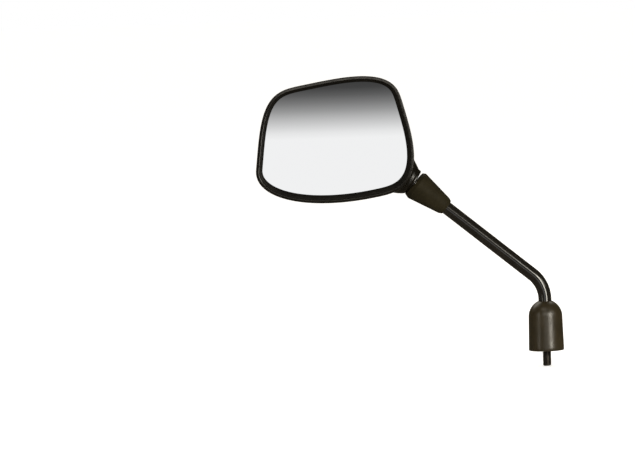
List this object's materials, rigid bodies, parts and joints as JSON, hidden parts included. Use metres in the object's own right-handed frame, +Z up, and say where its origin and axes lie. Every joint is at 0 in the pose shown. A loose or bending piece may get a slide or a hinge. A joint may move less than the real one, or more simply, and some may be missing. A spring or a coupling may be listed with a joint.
{
  "type": "motorcycle mirror",
  "caption": "Convex motorcycle mirror in a rounded shell on a bent black stem, with a ball joint under a rubber boot and a threaded stud under a bell cover.",
  "frame": {"origin": "on the mounting stud's axis, at the seat of the hex adapter", "axes": "+Z up along the stud, -Z out along the stud, -Y out of the glass, -X from the stud towards the head"},
  "size_m": [0.2775, 0.04, 0.2737],
  "materials": {
    "steel_dark": "dark zinc, satin",
    "steel_bright": "zinc, satin",
    "stem_black": "gloss black paint",
    "cover_rubber": "satin",
    "boot_rubber": "matte",
    "shell_plastic": "fine moulded grain",
    "gasket_rubber": "matte",
    "mirror_glass": "polished",
    "plate_plastic": "moulded",
    "foam": "closed-cell foam",
    "nylon": "moulded nylon"
  },
  "bodies": {
    "base": {"adapter": "steel_dark", "spring_washer": "steel_bright"},
    "stem": {"stem": "stem_black", "lock_nut": "steel_bright", "nut_cover": "cover_rubber", "ball_stud": "steel_bright", "cross_pin": "steel_bright", "boot": "boot_rubber"},
    "ring": {"ring_liner": "nylon"},
    "cap": {"cap_liner": "nylon"},
    "head": {"housing": "shell_plastic", "pressure_cup": "nylon", "disc_spring": "steel_bright", "thrust_washer": "steel_bright", "clamp_nut": "steel_dark", "backing_plate": "plate_plastic", "plate_screws": "steel_bright", "foam_pad": "foam", "glass": "mirror_glass", "gasket": "gasket_rubber"}
  },
  "joints": [
    {"name": "stem_turn", "type": "hinge", "parent": "base", "child": "stem", "pos_m": [0, 0, 0], "axis": [0, 0, 1], "range_deg": [-180, 180]},
    {"name": "head_spin", "type": "hinge", "parent": "stem", "child": "ring", "pos_m": [-0.12623, 0, 0.16677], "axis": [0.7683, 0, -0.6401], "range_deg": [-90, 90]},
    {"name": "head_swivel", "type": "hinge", "parent": "ring", "child": "cap", "pos_m": [-0.12623, 0, 0.16677], "axis": [0, 1, 0], "range_deg": [-1, 18]},
    {"name": "head_nod", "type": "hinge", "parent": "cap", "child": "head", "pos_m": [-0.12623, 0, 0.16677], "axis": [0.6401, 0, 0.7683], "range_deg": [-10, 10]}
  ]
}
